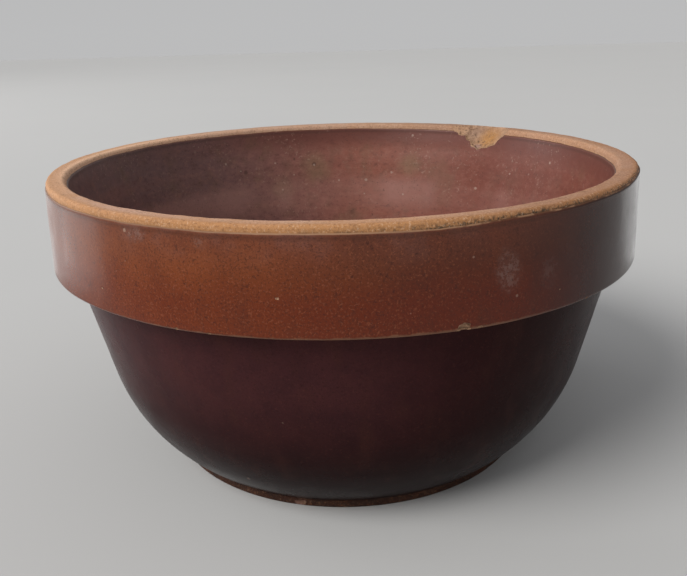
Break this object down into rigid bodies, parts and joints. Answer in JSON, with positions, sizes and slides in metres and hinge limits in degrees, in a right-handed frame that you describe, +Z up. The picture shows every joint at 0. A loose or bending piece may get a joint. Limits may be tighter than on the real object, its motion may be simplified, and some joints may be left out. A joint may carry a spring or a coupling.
{
  "type": "stoneware mixing bowl",
  "caption": "Open stoneware mixing bowl with a broad upright collar, a bare clay rim and foot, and brown glaze inside and outside.",
  "frame": {"origin": "centre of the foot ring on the surface that the bowl stands on", "axes": "+Z up along the bowl's axis, out of its mouth; X and Y lie in the table plane and are interchangeable, because the bowl is turned"},
  "size_m": [0.2548, 0.2548, 0.127],
  "materials": {
    "bare_stoneware": "matte",
    "outside_glaze": "gloss",
    "inside_glaze": "satin"
  },
  "bodies": {
    "root": {"stoneware_body": "bare_stoneware", "outside_glaze": "outside_glaze", "inside_glaze": "inside_glaze"}
  },
  "joints": []
}
